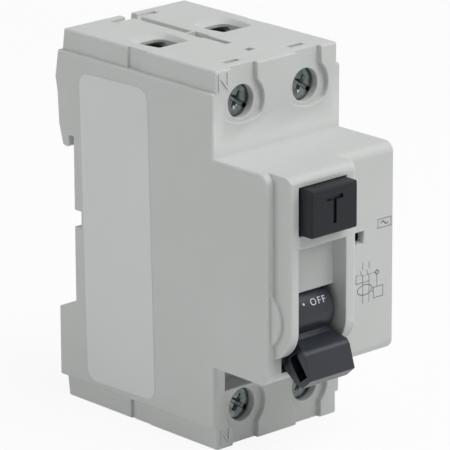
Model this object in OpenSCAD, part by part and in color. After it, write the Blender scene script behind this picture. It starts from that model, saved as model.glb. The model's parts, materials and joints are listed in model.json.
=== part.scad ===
// Two-pole residual-current breaker for a 35 mm top-hat rail.
// Frame: origin at the middle of the rail seat, front towards -Y, up is +Z, left is -X.
// The toggle is down (off), the contacts are open and the terminals are unscrewed.

/* [Casing] */
// Width over the side plates, two modules of 18 mm
body_w = 36; // [35:0.5:40]
// Step of the terminal blocks' sides behind the side plates
block_inset = 0.9; // [0.6:0.1:1.2]
// Height of the side plates
plate_h = 72.4; // [70:0.1:74]
// Height over the terminal blocks
block_h = 81.6; // [79:0.1:84]
// Height of the nose that stands in the panel cut-out
nose_h = 45; // [44:0.5:46]
// Rail seat to terminal face
terminal_d = 43.5; // [42.5:0.1:46]
// Terminal face to the flat front of the nose
nose_d = 16; // [15:0.1:18]
// Rail seat to the back of the side plates
back_d = 5.3; // [5:0.1:6]
// Rail seat to the seam between base and cover on the blocks
seam_d = 17.4; // [17:0.1:18]
// Rail seat to the front edge of the side plates
plate_d = 25.5; // [25:0.1:26]
// Wall of the mouldings
wall = 1.8; // [1.5:0.1:2]
// Wall at the two ends, round the cable entries
end_wall = 2.6; // [2.2:0.1:2.8]
// Radius along the upper and lower front edges of the nose
nose_r = 2.2; // [1:0.1:2.6]

/* [Ridge, window and button] */
// Middle of toggle and button left of the body's middle, as a share of the width
toggle_share = 0.197; // [0.19:0.001:0.205]
// Left edge of the ridge to the middle of the toggle
ridge_lead = 8.95; // [8.8:0.05:9.1]
// Width of the raised ridge
ridge_w = 18.4; // [18:0.1:18.8]
// How far the ridge stands out of the nose
ridge_d = 5; // [4.6:0.1:5.6]
// Lower end of the ridge
ridge_low = -17.1; // [-17.4:0.1:-16.8]
// Radius of the ridge's upper edge
ridge_top_r = 2; // [1.6:0.1:2.6]
// Radius of the ridge's lower end
ridge_end_r = 6.8; // [6.2:0.1:7.2]
// Radius of the ridge's long edges
ridge_side_r = 0.9; // [0.6:0.1:1.2]
// Radius of the round boss on the ridge's outer wall
boss_r = 6.6; // [6.2:0.1:6.8]
// Width of the toggle window
window_w = 13.2; // [13:0.1:13.4]
// Upper edge of the toggle window
window_top = 7.1; // [6.8:0.1:7.4]
// Lower edge of the toggle window
window_low = -20.3; // [-20.4:0.1:-20.1]
// Depth of the window's back wall behind the ridge
window_depth = 3.9; // [3.6:0.1:4.2]
// Width of the test button
button_w = 12.8; // [12.4:0.1:12.9]
// Height of the test button
button_h = 10; // [9.4:0.1:10.1]
// Middle height of the test button
button_z = 15.1; // [14.9:0.1:15.2]
// How far the test button stands out of the ridge
button_proud = 3.5; // [3:0.1:4]
// Travel of the test button
button_travel = 1.5; // [1:0.1:1.6]
// Width of the trip window
flag_window_w = 2.4; // [2.2:0.1:2.8]
// Height of the trip window
flag_window_h = 3.2; // [2.8:0.1:3.3]
// Middle of the trip window left of the body's right side
flag_inset = 9.8; // [9.5:0.1:10.1]
// Middle of the trip window in height
flag_z = 3.9; // [3.7:0.1:4.1]

/* [Toggle] */
// Toggle axis behind the flat front of the nose
toggle_set_back = 2.4; // [2.2:0.1:2.6]
// Height of the toggle axis
toggle_z = -8.6; // [-8.8:0.1:-8.4]
// Radius of the toggle's barrel
barrel_r = 5.5; // [5.3:0.1:5.6]
// Width of the toggle's barrel
barrel_w = 10.4; // [10:0.1:10.8]
// Width of the toggle's grip
grip_w = 12.7; // [12.3:0.1:12.8]
// Reach of the grip from the axis
grip_reach = 15.8; // [15:0.1:16.2]
// Angle of the grip below level when off
grip_rest = 52; // [50:1:54]
// Swing from off to on
toggle_swing = 90; // [86:1:92]
// Radius of the toggle's steel pin
toggle_pin_r = 1.2; // [1:0.05:1.3]
// Radius of the toggle's crank
crank_r = 3.5; // [3.4:0.05:3.6]

/* [Terminals] */
// Height of the terminal screws above and below the rail's middle
screw_z = 32.8; // [32.5:0.1:33]
// Radius of the screw's thread
screw_r = 3; // [2.5:0.1:3.1]
// Radius of the screw's head
head_r = 3.3; // [3.2:0.05:3.4]
// Length of the screw's head
head_l = 3.2; // [2.8:0.1:3.4]
// Head below the terminal face
head_sunk = 2.6; // [2.4:0.1:2.8]
// Depth of the keyhole recess round a screw
recess_d = 1.2; // [0.8:0.1:1.4]
// Radius of the keyhole recess
recess_r = 5.5; // [5.3:0.1:5.8]
// Width of the keyhole recess where it runs out at the end
recess_w = 7.1; // [6.8:0.1:7.4]
// Width of the cable entry's throat
entry_w = 7.4; // [7:0.1:7.6]
// Depth of the cable entry's throat, front to back
entry_d = 7.2; // [6.8:0.1:7.4]
// Width of the dish round the cable entry at its back corners
entry_flare = 1.2; // [0.8:0.1:1.4]
// Width of the dish behind the cable entry
entry_flare_back = 1.9; // [1.6:0.1:2.2]
// Depth of the dish round the cable entry
entry_dish = 1.1; // [0.7:0.1:1.3]
// Wall over the pocket behind the cable entry
entry_lip = 1.8; // [1.6:0.1:2]
// Gap between the clamp cage and the cell's outer wall
cage_side_gap = 0.7; // [0.6:0.05:0.8]
// Side wall of the clamp cage
cage_wall = 1.2; // [1:0.1:1.3]
// Height of the clamp cage
cage_h = 8.6; // [8:0.1:8.8]
// Clamping travel of the cage
cage_travel = 5.5; // [5:0.1:5.8]
// Gap at each side of a copper strip in its cage
strip_play = 0.4; // [0.3:0.05:0.5]
// Thickness of the copper strips
strip_t = 1.6; // [1.2:0.1:1.8]
// Rail seat to the back face of the copper strips
strip_d = 22.15; // [22:0.05:22.3]

/* [Switch and trip gear] */
// Rail seat to the contact carrier's axis
carrier_d = 15; // [14.8:0.1:15.2]
// Height of the contact carrier's axis
carrier_z = 6; // [5.8:0.1:6.4]
// Radius of the contact carrier's bar
carrier_r = 3.2; // [3:0.1:3.3]
// Swing of the contact carrier
carrier_swing = 30; // [28:1:32]
// Radius of the carrier and trip lever pins
pin_r = 1.2; // [1:0.05:1.3]
// Moving contacts outwards of the pole's middle
contact_shift = 1.5; // [1.2:0.1:1.8]
// Width of the moving contact arms
arm_w = 3.5; // [3:0.1:3.8]
// Thickness of the moving contact arms
arm_t = 1.4; // [1.2:0.1:1.5]
// Length of a moving contact arm above the carrier's axis
arm_l = 14; // [13.5:0.1:14.2]
// Thickness of a contact tip
tip_t = 1.2; // [1:0.05:1.25]
// Radius of a contact tip
tip_r = 1.6; // [1.4:0.05:1.7]
// Inner radius of the transformer's ring
ring_in_r = 8.3; // [8:0.1:8.5]
// Outer radius of the transformer's ring
ring_out_r = 12.7; // [12:0.1:13]
// Height of the transformer's ring
ring_h = 9.4; // [9:0.1:9.8]
// Thickness of the winding on the ring
winding_t = 0.8; // [0.6:0.05:0.9]
// Lower face of the wound ring
ring_low = -20; // [-20.2:0.1:-19.8]
// Rail seat to the transformer's axis
ring_d = 22; // [21.8:0.1:22.2]
// Width of the trip relay
relay_w = 11; // [10:0.1:11.1]
// Depth of the trip relay, front to back
relay_l = 17.4; // [16:0.1:17.6]
// Height of the trip relay
relay_h = 17; // [16:0.1:17.4]
// Rail seat to the trip lever's axis
lever_d = 42; // [41.8:0.1:42.2]
// Height of the trip lever's axis
lever_z = 5; // [4.8:0.1:5.2]
// Swing of the trip lever
lever_swing = 12; // [10:1:13]

/* [Rail clip] */
// Height of the top-hat rail
rail_h = 35; // [34.8:0.1:35.2]
// Slot behind the upper hook for the rail's edge
hook_gap = 1.4; // [1.3:0.05:1.6]
// Width of the sliding clip
clip_w = 14; // [12:0.5:16]
// Thickness of the sliding clip
clip_t = 3; // [2.6:0.1:3.2]
// Travel of the sliding clip
clip_travel = 4; // [3:0.1:4.5]
// Width of one guide flange of the clip
clip_flange = 1.2; // [1:0.1:1.5]

/* [Clearances] */
// Gap between parts that slide past each other
slip = 0.25; // [0.2:0.05:0.3]
// Radial running clearance of pins
run = 0.05; // [0.02:0.01:0.08]
// Gap between the barrel and the window round it
barrel_gap = 0.3; // [0.3:0.05:0.4]
// Gap round the test button
button_gap = 0.15; // [0.1:0.05:0.25]
// Gap of pieces that are seated without moving
seat = 0.05; // [0.02:0.01:0.1]

/* [Hidden] */
$fn = 64;
LEFT = -1;
RIGHT = 1;
UPPER = 1;
LOWER = -1;
SIDES = [LEFT, RIGHT];
ENDS = [LOWER, UPPER];
cut = 1;

// Colours as the object shows them
casing_colour = [0.74, 0.745, 0.735];
label_colour = [0.78, 0.785, 0.785];
toggle_colour = [0.25, 0.26, 0.29];
button_colour = [0.18, 0.19, 0.21];
steel_colour = [0.70, 0.72, 0.74];
copper_colour = [0.72, 0.45, 0.30];
silver_colour = [0.82, 0.82, 0.80];
inner_colour = [0.30, 0.31, 0.33];
flag_colour = [0.55, 0.12, 0.10];

// Casing planes
half_w = body_w / 2;
block_half = half_w - block_inset;
plate_half = plate_h / 2;
block_end = block_h / 2;
nose_half = nose_h / 2;
y_term = -terminal_d;
y_nose = y_term - nose_d;
y_ridge = y_nose - ridge_d;
y_seam = -seam_d;
y_plate = -plate_d;
in_half = half_w - wall;
cell_half = block_half - wall;
cell_end = block_end - end_wall;
mid_wall = 1.4;
partition_z = 23.6;
partition_t = 1.4;
cell_start = partition_z + partition_t;
y_floor = -4.5;
y_cell_floor = -10.3;
y_cell_front = y_term + recess_d + wall;
pole_x = body_w / 4;

// Ridge, window and button
ridge_x = -toggle_share * body_w;
ridge_left = ridge_x - ridge_lead;
ridge_right = ridge_left + ridge_w;
window_left = ridge_x - window_w / 2;
window_right = ridge_x + window_w / 2;
y_window = y_ridge + window_depth;
flag_x = half_w - flag_inset;
button_flange = 0.8;
button_flange_t = 1.4;
button_stem_r = 1.6;
y_button = y_ridge - button_proud;
y_wall_in = y_nose + wall;
y_blade = y_wall_in + 8.7;
blade_t = 0.5;
blade_h = 8;
y_stem_tip = y_blade - button_travel - slip;

// Toggle and linkage
toggle_y = y_nose + toggle_set_back;
barrel_left = ridge_x - barrel_w / 2;
barrel_right = ridge_x + barrel_w / 2;
link_r = 0.7;
link_x = barrel_right - 0.9;
crank_y = toggle_y - crank_r * sin(toggle_swing / 2);
crank_z = toggle_z + crank_r * cos(toggle_swing / 2);
carrier_y = -carrier_d;
lug_r = crank_r * sin(toggle_swing / 2) / sin(carrier_swing / 2);
lug_y = carrier_y - lug_r * sin(carrier_swing / 2);
lug_z = carrier_z - lug_r * cos(carrier_swing / 2);
lug_t = 2;
lug_x = link_x + link_r + 0.5;
link_end_x = lug_x + lug_t + slip;
// The link's end rises against the lug by both arcs' heights at mid-swing, when the slot stands upright
link_play = 0.35;
lug_slot_rise = crank_r * (1 - cos(toggle_swing / 2)) + lug_r * (1 - cos(carrier_swing / 2));
ear_t = 2;

// Terminals
y_head = y_term + head_sunk;
y_strip_back = -strip_d;
y_strip_front = y_strip_back - strip_t;
y_screw_tip = y_strip_front - 0.4;
cage_front_t = 2.5;
cage_back_t = 2;
y_cage_front = -30.5;
y_cage_back = y_cell_floor - 0.9;
cage_out_half = cell_half - pole_x - cage_side_gap;
cage_in_w = 2 * (cage_out_half - cage_wall);
strip_w = cage_in_w - 2 * strip_play;
y_entry_back = -14.8;
y_entry_front = y_entry_back - entry_d;
pocket_half = 5.7;
pocket_d = 5.6;
pocket_h = 5.6;
pocket_wall = 1.2;

// Contacts
contact_x = pole_x + contact_shift;
y_arm_back = carrier_y - carrier_r;
y_arm_front = y_arm_back - arm_t;
tip_z = carrier_z + arm_l - tip_r - 0.3;
arm_tail = 5;
tip_gap = 0.15;

// Transformer and trip gear
ring_y = -ring_d;
ring_top = ring_low + ring_h + 2 * winding_t;
conductor_x = pole_x - 4.2;
conductor_t = 2.5;
conductor_top = ring_top + 3.5;
relay_x = in_half - seat - relay_w / 2;
relay_low = -nose_half + wall + 1.2;
relay_top = relay_low + relay_h;
relay_back = ring_y - ring_out_r - winding_t - 1.1;
relay_front = relay_back - relay_l;
lever_y = -lever_d;
plunger_y = lever_y - 6;
plunger_r = 1.2;
lever_left = window_right + ear_t + 0.7;
lever_right = in_half - 4.2;
catch_w = 1.2;
arm_reach = 13.3;
y_flag = y_wall_in + slip + 0.2;
flag_t = 0.8;
flag_w = 6;

// Rail seat and clip
seat_groove_d = 2.1;
seat_groove_low = -1.7;
seat_groove_high = 1.9;
hook_top = rail_h / 2 + 0.5;
step_z = rail_h / 2 + 0.9;
clip_face = 1.2;
clip_guide_t = 1.4;
clip_low = -block_end + 0.3;
clip_nose_top = -rail_h / 2 + 1.2;
spring_pocket_low = -34;
spring_pocket_high = -20;
spring_pocket_half = 2.4;
spring_pocket_y = -3.4;
spring_y = -1.1;
clip_peg_top = -21.5;
clip_peg_h = 2;

// Helpers
// A box between two corners
module block(x0, x1, y0, y1, z0, z1) {
    translate([x0, y0, z0]) cube([x1 - x0, y1 - y0, z1 - z0]);
}

// An outline drawn as [y, z], carried along X
module along_x(x0, x1) {
    translate([x0, 0, 0]) rotate([90, 0, 90]) linear_extrude(x1 - x0) children();
}

// An outline drawn as [x, z], carried along Y
module along_y(y0, y1) {
    translate([0, y1, 0]) rotate([90, 0, 0]) linear_extrude(y1 - y0) children();
}

// An outline drawn as [x, y], carried along Z
module along_z(z0, z1) {
    translate([0, 0, z0]) linear_extrude(z1 - z0) children();
}

module rod_x(x0, x1, y, z, r) {
    translate([x0, y, z]) rotate([0, 90, 0]) cylinder(r = r, h = x1 - x0);
}

module rod_y(x, y0, y1, z, r) {
    translate([x, y0, z]) rotate([-90, 0, 0]) cylinder(r = r, h = y1 - y0);
}

module rod_z(x, y, z0, z1, r) {
    translate([x, y, z0]) cylinder(r = r, h = z1 - z0);
}

// A rectangle whose four corners are round
module round_rect(x0, x1, y0, y1, r) {
    translate([x0 + r, y0]) square([x1 - x0 - 2 * r, y1 - y0]);
    translate([x0, y0 + r]) square([x1 - x0, y1 - y0 - 2 * r]);
    for (x = [x0 + r, x1 - r], y = [y0 + r, y1 - r]) translate([x, y]) circle(r);
}

// A bent round wire through a few points
module wire(points, r) {
    for (i = [0 : len(points) - 2]) {
        span = points[i + 1] - points[i];
        translate(points[i])
            rotate([0, acos(span[2] / norm(span)), atan2(span[1], span[0])])
                cylinder(r = r, h = norm(span), $fn = 16);
    }
    // The bends are a little stouter than the wire, so that each cylinder runs clean into its sphere
    for (i = [1 : len(points) - 2]) translate(points[i]) sphere(r * 1.03, $fn = 16);
}

// Faces of a tube that is given ring by ring
function tube_faces(rings, sides) = concat(
    [for (s = [1 : sides - 2]) [0, s + 1, s]],
    [for (i = [0 : rings - 2], s = [0 : sides - 1], half = [0, 1])
        let (a = i * sides + s, b = i * sides + (s + 1) % sides, c = b + sides, d = a + sides)
        half == 0 ? [a, b, c] : [a, c, d]],
    [for (s = [1 : sides - 2]) let (e = (rings - 1) * sides) [e, e + s, e + s + 1]]);

// A soft lead: a tube along the curve that starts at a towards b and comes to d from c
lead_sides = 8;
lead_steps = 12;
function curve(a, b, c, d, t) =
    a * pow(1 - t, 3) + 3 * b * t * pow(1 - t, 2) + 3 * c * t * t * (1 - t) + d * pow(t, 3);
function heading(a, b, c, d, t) = let (
    v = (b - a) * pow(1 - t, 2) + 2 * (c - b) * t * (1 - t) + (d - c) * t * t) v / norm(v);
module lead(a, b, c, d, r) {
    rings = [for (i = [0 : lead_steps], s = [0 : lead_sides - 1])
        let (t = i / lead_steps, h = heading(a, b, c, d, t), side = cross(h, [1, 0, 0]),
            u = side / norm(side), w = cross(u, h), angle = 360 * s / lead_sides)
        curve(a, b, c, d, t) + r * (cos(angle) * u + sin(angle) * w)];
    polyhedron(rings, tube_faces(lead_steps + 1, lead_sides));
}

// A coil spring along +Z from 0 to its length, one unbroken tube
coil_sides = 6;
coil_steps = 8;
function coil_points(r, w, length, turns) = [
    for (i = [0 : turns * coil_steps], s = [0 : coil_sides - 1])
        let (a = 360 * i / coil_steps, t = 360 * s / coil_sides,
            z = w + (length - 2 * w) * i / (turns * coil_steps))
        [(r + w * cos(t)) * cos(a), (r + w * cos(t)) * sin(a), z + w * sin(t)]];
module coil(r, w, length, turns) {
    echo(coil_gap = (length - 2 * w) / turns - 2 * w);
    polyhedron(coil_points(r, w, length, turns), tube_faces(turns * coil_steps + 1, coil_sides));
}

// Casing
// Side view of the side plates, with the hook, the rail seat and the lower step
module plate_outline() {
    hook_tip = rail_h / 2 - 1.9;
    polygon([
        [y_plate, -plate_half], [back_d, -plate_half], [back_d, -step_z - 2.3], [0, -step_z],
        [0, hook_top], [hook_gap, hook_top], [hook_gap, hook_tip + 0.3], [hook_gap + 0.6, hook_tip - 0.2],
        [back_d - 1.9, hook_tip], [back_d - 0.7, hook_tip + 4.4], [back_d - 0.3, hook_tip + 11.4],
        [back_d + 0.3, hook_tip + 14.7], [back_d - 0.2, hook_tip + 17.5], [back_d - 0.7, plate_half],
        [y_plate, plate_half]]);
}

// Plan of a cable entry: straight at the front, round at its two back corners
module entry_plan(front_half, back_half, y_back, r) {
    steps = 8;
    polygon(concat([[front_half, y_entry_front], [-front_half, y_entry_front]],
        [for (i = [0 : steps]) let (a = 180 - 90 * i / steps)
            [-back_half + r + r * cos(a), y_back - r + r * sin(a)]],
        [for (i = [0 : steps]) let (a = 90 - 90 * i / steps)
            [back_half - r + r * cos(a), y_back - r + r * sin(a)]]));
}

// One cable entry, cut through base and cover alike: an upright throat with a shallow dish round it
module cable_entry(pole, end) {
    half = entry_w / 2;
    dish_front = 0.3;
    throat_r = 2.2;
    // The plan stands a little wide of the dish's slopes, so that it only rounds their corners
    dish_r = 4;
    dish_spare = 0.3;
    z_dish = block_end - entry_dish;
    z_mouth = block_end + cut;
    grow = (entry_dish + cut) / entry_dish;
    mirror([0, 0, end < 0 ? 1 : 0]) translate([pole * pole_x, 0, 0]) {
        along_z(cell_end - cut, z_mouth) entry_plan(half, half, y_entry_back, throat_r);
        // Pocket under the dish, so that the cable's end passes over the cage
        block(-half, half, y_entry_back - throat_r, y_cell_floor, cell_end - cut, block_end - entry_lip);
        intersection() {
            along_z(z_dish, z_mouth)
                entry_plan(half + dish_front, half + entry_flare + dish_spare,
                    y_entry_back + entry_flare_back + dish_spare, dish_r);
            along_y(y_entry_front - cut, y_cell_floor) polygon([
                [-half, z_dish], [-half - entry_flare * grow, z_mouth], [half + entry_flare * grow, z_mouth],
                [half, z_dish]]);
            along_x(-entry_w, entry_w) polygon([
                [y_entry_front - cut, z_dish], [y_entry_front - cut, z_mouth],
                [y_entry_back + entry_flare_back * grow, z_mouth], [y_entry_back, z_dish]]);
        }
    }
}

// Fine cuts on the end faces: the groove between the poles, its slots and a square hole
module end_face_cuts() {
    z_groove = block_end - 1;
    groove_half = 0.65;
    groove_front = 4.6;
    groove_wide = 0.85;
    groove_narrow = 0.5;
    slot_half = 2.05;
    slot_d = 1.5;
    slot_front = 3.4;
    hole = 1.9;
    hole_front = 7.5;
    for (end = ENDS) mirror([0, 0, end < 0 ? 1 : 0]) {
        block(-groove_half, groove_half, y_seam + wall / 2, back_d + cut, z_groove, block_end + cut);
        block(-groove_wide, groove_wide, y_seam - groove_front, y_seam, z_groove, block_end + cut);
        block(-groove_narrow, groove_narrow, y_seam - 2.5 * groove_front, y_seam, z_groove, block_end + cut);
        block(-hole / 2, hole / 2, y_term + hole_front, y_term + hole_front + hole, z_groove, block_end + cut);
        for (pole = SIDES)
            block(pole * pole_x - slot_half, pole * pole_x + slot_half, y_term + slot_front,
                y_term + slot_front + slot_d, z_groove, block_end + cut);
    }
}

// Hollow of the terminal cells, one per pole and end
module terminal_cells(y0, y1) {
    for (pole = SIDES, end = ENDS)
        mirror([pole < 0 ? 1 : 0, 0, 0]) mirror([0, 0, end < 0 ? 1 : 0])
            block(mid_wall / 2, cell_half, y0, y1, cell_start, cell_end);
}

module rear_base() color(casing_colour) {
    block_back = back_d - 1.2;
    block_draft = 0.6;
    ear_low = carrier_z - carrier_r - 0.8;
    ear_high = carrier_z + carrier_r + 0.8;
    ear_front = carrier_y - 4;
    groove = 0.6;
    groove_w = 0.9;
    notch_half = 1.6;
    notch_y = -0.3;
    lip_half = 6.2;
    lip_t = 1.9;
    lip_d = 1.2;
    saddle_half = 12.5;
    difference() {
        union() {
            difference() {
                union() {
                    along_x(-half_w, half_w) plate_outline();
                    for (end = ENDS) mirror([0, 0, end < 0 ? 1 : 0])
                        along_x(-block_half, block_half) polygon([
                            [y_seam, partition_z], [block_back, partition_z], [block_back, plate_half],
                            [block_back - block_draft, block_end], [y_seam, block_end]]);
                }
                block(-in_half, in_half, y_plate - cut, y_floor, -partition_z, partition_z);
                terminal_cells(y_plate - cut, y_cell_floor);
            }
            // Ears that hold the carrier's pin
            for (side = SIDES) mirror([side < 0 ? 1 : 0, 0, 0])
                block(in_half - wall, in_half + seat, ear_front, y_floor + seat, ear_low, ear_high);
            // Saddle under the wound ring
            block(-saddle_half, saddle_half, ring_y + 2.5, y_floor + seat, -partition_z, ring_low - seat);
        }
        rod_x(-in_half, in_half, carrier_y, carrier_z, pin_r + run);
        for (pole = SIDES, end = ENDS) {
            cable_entry(pole, end);
            // Slots that hold the copper strips
            mirror([0, 0, end < 0 ? 1 : 0])
                block(pole * pole_x - strip_w / 2 - seat, pole * pole_x + strip_w / 2 + seat,
                    y_strip_front - seat, y_strip_back + seat, partition_z - cut, cell_start + cut);
        }
        // Groove across the rail seat
        block(-half_w - cut, half_w + cut, -seat_groove_d, cut, seat_groove_low, seat_groove_high);
        // Channel of the rail clip, its guides and its spring's pocket
        clip_channel();
        end_face_cuts();
        for (end = ENDS) mirror([0, 0, end < 0 ? 1 : 0]) {
            // Groove along the seam at both sides
            for (side = SIDES) mirror([side < 0 ? 1 : 0, 0, 0])
                block(block_half - groove, half_w + cut, y_seam - cut, y_seam + groove_w, plate_half,
                    block_end + cut);
            // Notch between the poles and the pocket with its back lip
            block(-lip_half, lip_half, notch_y, block_back - block_draft - lip_t, block_end - lip_d,
                block_end + cut);
        }
        block(-notch_half, notch_half, notch_y, back_d + cut, plate_half, block_end + cut);
    }
}

module clip_channel() {
    half = clip_w / 2 + slip;
    block(-half, half, clip_face - slip, back_d + cut, -block_end - cut, -step_z + cut + 3);
    block(-half - clip_flange, half + clip_flange, clip_face - slip, clip_face + clip_guide_t + slip,
        -block_end - cut, -step_z - 3);
    block(-spring_pocket_half, spring_pocket_half, spring_pocket_y, clip_face, spring_pocket_low,
        spring_pocket_high);
}

// Raised ridge over the toggle: the side view and the plan cut each other
module ridge() {
    root = nose_r + 0.5;
    intersection() {
        along_x(ridge_left, ridge_right) union() {
            translate([y_ridge + ridge_end_r, ridge_low])
                square([ridge_d - ridge_end_r + root, nose_half - ridge_low - ridge_top_r]);
            translate([y_ridge, ridge_low + ridge_end_r])
                square([ridge_d + root, nose_half - ridge_low - ridge_end_r - ridge_top_r]);
            translate([y_ridge + ridge_top_r, nose_half - 2 * ridge_top_r])
                square([ridge_d + root - ridge_top_r, 2 * ridge_top_r]);
            translate([y_ridge + ridge_end_r, ridge_low + ridge_end_r]) circle(ridge_end_r);
            translate([y_ridge + ridge_top_r, nose_half - ridge_top_r]) circle(ridge_top_r);
        }
        along_z(ridge_low - cut, nose_half + cut) {
            translate([ridge_left, y_ridge + ridge_side_r]) square([ridge_w, ridge_d + root]);
            translate([ridge_left + ridge_side_r, y_ridge])
                square([ridge_w - 2 * ridge_side_r, ridge_d]);
            for (x = [ridge_left + ridge_side_r, ridge_right - ridge_side_r])
                translate([x, y_ridge + ridge_side_r]) circle(ridge_side_r);
        }
    }
}

// Outside of the nose, with its two round front edges
module nose() {
    along_x(-half_w, half_w) union() {
        translate([y_nose + nose_r, -nose_half]) square([y_plate - y_nose - nose_r, nose_h]);
        translate([y_nose, -nose_half + nose_r]) square([nose_r + cut, nose_h - 2 * nose_r]);
        for (z = [-nose_half + nose_r, nose_half - nose_r]) translate([y_nose + nose_r, z]) circle(nose_r);
    }
}

// Keyhole recess and screw hole in one terminal face
module terminal_face_cut(pole, end) {
    x = pole * pole_x;
    ledge = 4.2;
    ledge_r = 9;
    mirror([0, 0, end < 0 ? 1 : 0]) {
        along_y(y_term - cut, y_term + recess_d) translate([x, screw_z]) {
            translate([-recess_w / 2, 0]) square([recess_w, block_end - screw_z + cut]);
            intersection() {
                circle(recess_r);
                translate([0, ledge_r - ledge]) circle(ledge_r);
            }
        }
        rod_y(x, y_term, y_cell_front + cut, screw_z, head_r + slip);
    }
}

// Window of the toggle: a blind upper part and an open lower part
module toggle_window() {
    block(window_left, window_right, y_ridge - cut, y_window, toggle_z, window_top);
    block(window_left, window_right, y_ridge - cut, y_wall_in + cut, window_low, toggle_z);
    rod_x(window_left, window_right, toggle_y, toggle_z, barrel_r + barrel_gap);
}

module front_cover() color(casing_colour) {
    rib_t = 1.2;
    boss_proud = 0.95;
    boss_back = 1.6;
    button_x = button_w / 2 + button_gap;
    button_up = button_h / 2 + button_gap;
    difference() {
        union() {
            difference() {
                union() {
                    block(-half_w, half_w, y_term, y_plate, -plate_half, plate_half);
                    block(-block_half, block_half, y_term, y_seam, -block_end, block_end);
                    nose();
                    ridge();
                }
                // Room for the base's side plates
                block(-half_w - cut, half_w + cut, y_plate, cut, -plate_half, plate_half);
                block(-in_half, in_half, y_term + wall, y_plate + cut, -partition_z, partition_z);
                block(-in_half, in_half, y_wall_in, y_plate + cut, -nose_half + wall, nose_half - wall);
                terminal_cells(y_cell_front, y_seam + cut);
            }
            // Boss over the toggle's axis on the ridge's outer wall
            intersection() {
                rod_x(ridge_left - boss_proud, ridge_left + wall, toggle_y + boss_back, toggle_z, boss_r);
                block(-half_w, half_w, y_ridge, y_nose + wall / 2, -nose_half, nose_half);
            }
            // Ears that hold the toggle's pin
            for (x = [window_left - ear_t, window_right])
                block(x, x + ear_t, y_wall_in - seat, toggle_y + 5, toggle_z - 4.5, toggle_z + 4.5);
            // Ribs that hold the test contact
            for (x = [window_left - 1 - rib_t, window_right + 0.8])
                block(x, x + rib_t, y_wall_in - seat, y_blade + blade_t + 0.5,
                    button_z - blade_h / 2, button_z + blade_h / 2);
            // Rib and boss that hold the trip lever's pin
            block(lever_left - slip - 1.6, lever_left - slip, y_wall_in - seat, lever_y + 3,
                lever_z - 3, lever_z + 3);
            block(in_half - 1.6, in_half + seat, lever_y - 3, lever_y + 3, lever_z - 3, lever_z + 3);
            // Guides of the trip flag
            for (x = [flag_x - flag_w / 2 - slip - rib_t / 2, flag_x + flag_w / 2 + slip])
                block(x, x + rib_t / 2, y_wall_in - seat, y_flag + flag_t, flag_z - 8, flag_z + 3);
            // Walls of the two pockets under the nose
            for (pole = SIDES) translate([pole * pole_x, 0, 0])
                block(-pocket_half - pocket_wall, pocket_half + pocket_wall, y_term + wall / 2,
                    y_term + pocket_d + pocket_wall, -nose_half - pocket_h - pocket_wall,
                    -nose_half + pocket_wall);
        }
        for (pole = SIDES) {
            for (end = ENDS) {
                terminal_face_cut(pole, end);
                cable_entry(pole, end);
            }
            translate([pole * pole_x, 0, 0])
                block(-pocket_half, pocket_half, y_term - cut, y_term + pocket_d, -nose_half - pocket_h,
                    -nose_half);
        }
        toggle_window();
        rod_x(window_left - ear_t - seat, window_right + ear_t + cut, toggle_y, toggle_z,
            toggle_pin_r + seat / 2);
        rod_x(lever_left - 4, in_half, lever_y, lever_z, pin_r + seat / 2);
        block(ridge_x - button_x, ridge_x + button_x, y_ridge - cut, y_wall_in + cut,
            button_z - button_up, button_z + button_up);
        block(flag_x - flag_window_w / 2, flag_x + flag_window_w / 2, y_nose - cut, y_wall_in + cut,
            flag_z - flag_window_h / 2, flag_z + flag_window_h / 2);
        end_face_cuts();
        side_steps();
    }
}

// Shallow steps on the block's sides beside the seam
module side_steps() {
    step = 0.45;
    step_top = 5.5;
    step_foot = 3;
    for (side = SIDES, end = ENDS) mirror([side < 0 ? 1 : 0, 0, 0]) mirror([0, 0, end < 0 ? 1 : 0])
        along_x(block_half - step, half_w + cut) polygon([
            [y_seam + cut, plate_half], [y_seam + cut, block_end + cut], [y_seam - step_top, block_end + cut],
            [y_seam - step_foot, plate_half]]);
}

// Bare film label on the left side plate
module side_label() color(label_colour) {
    label_t = 0.12;
    corner = 2.2;
    label_front = 1.3;
    label_back = 2.3;
    label_top = 4.2;
    label_foot = 2.4;
    along_x(-half_w - label_t, -half_w)
        round_rect(y_plate + label_front, -label_back, -plate_half + label_foot, plate_half - label_top, corner);
}

// Rail clip
module din_clip() color(casing_colour) {
    half = clip_w / 2;
    flange_top = -step_z - 3.4;
    difference() {
        union() {
            // Slider with its slanted nose, in side view
            along_x(-half, half) polygon([
                [clip_face, clip_low], [clip_face + clip_t, clip_low], [clip_face + clip_t, clip_nose_top - 2.6],
                [clip_face + 0.9, clip_nose_top], [clip_face, clip_nose_top]]);
            block(-half - clip_flange + slip, half + clip_flange - slip, clip_face, clip_face + clip_guide_t,
                clip_low, flange_top);
            block(-spring_pocket_half + slip, spring_pocket_half - slip, spring_pocket_y + slip,
                clip_face + cut, clip_peg_top - clip_peg_h, clip_peg_top);
        }
        // Slot for a screwdriver
        block(-2.2, 2.2, clip_face - cut, clip_face + clip_t + cut, clip_low + 1.6, clip_low + 3.4);
    }
}

module din_clip_spring() color(steel_colour) {
    clip_coil_r = 1.6;
    clip_wire_r = 0.25;
    clip_turns = 8;
    length = clip_peg_top - clip_peg_h - spring_pocket_low - 2 * seat;
    translate([0, spring_y, spring_pocket_low + seat]) coil(clip_coil_r, clip_wire_r, length, clip_turns);
}

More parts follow.
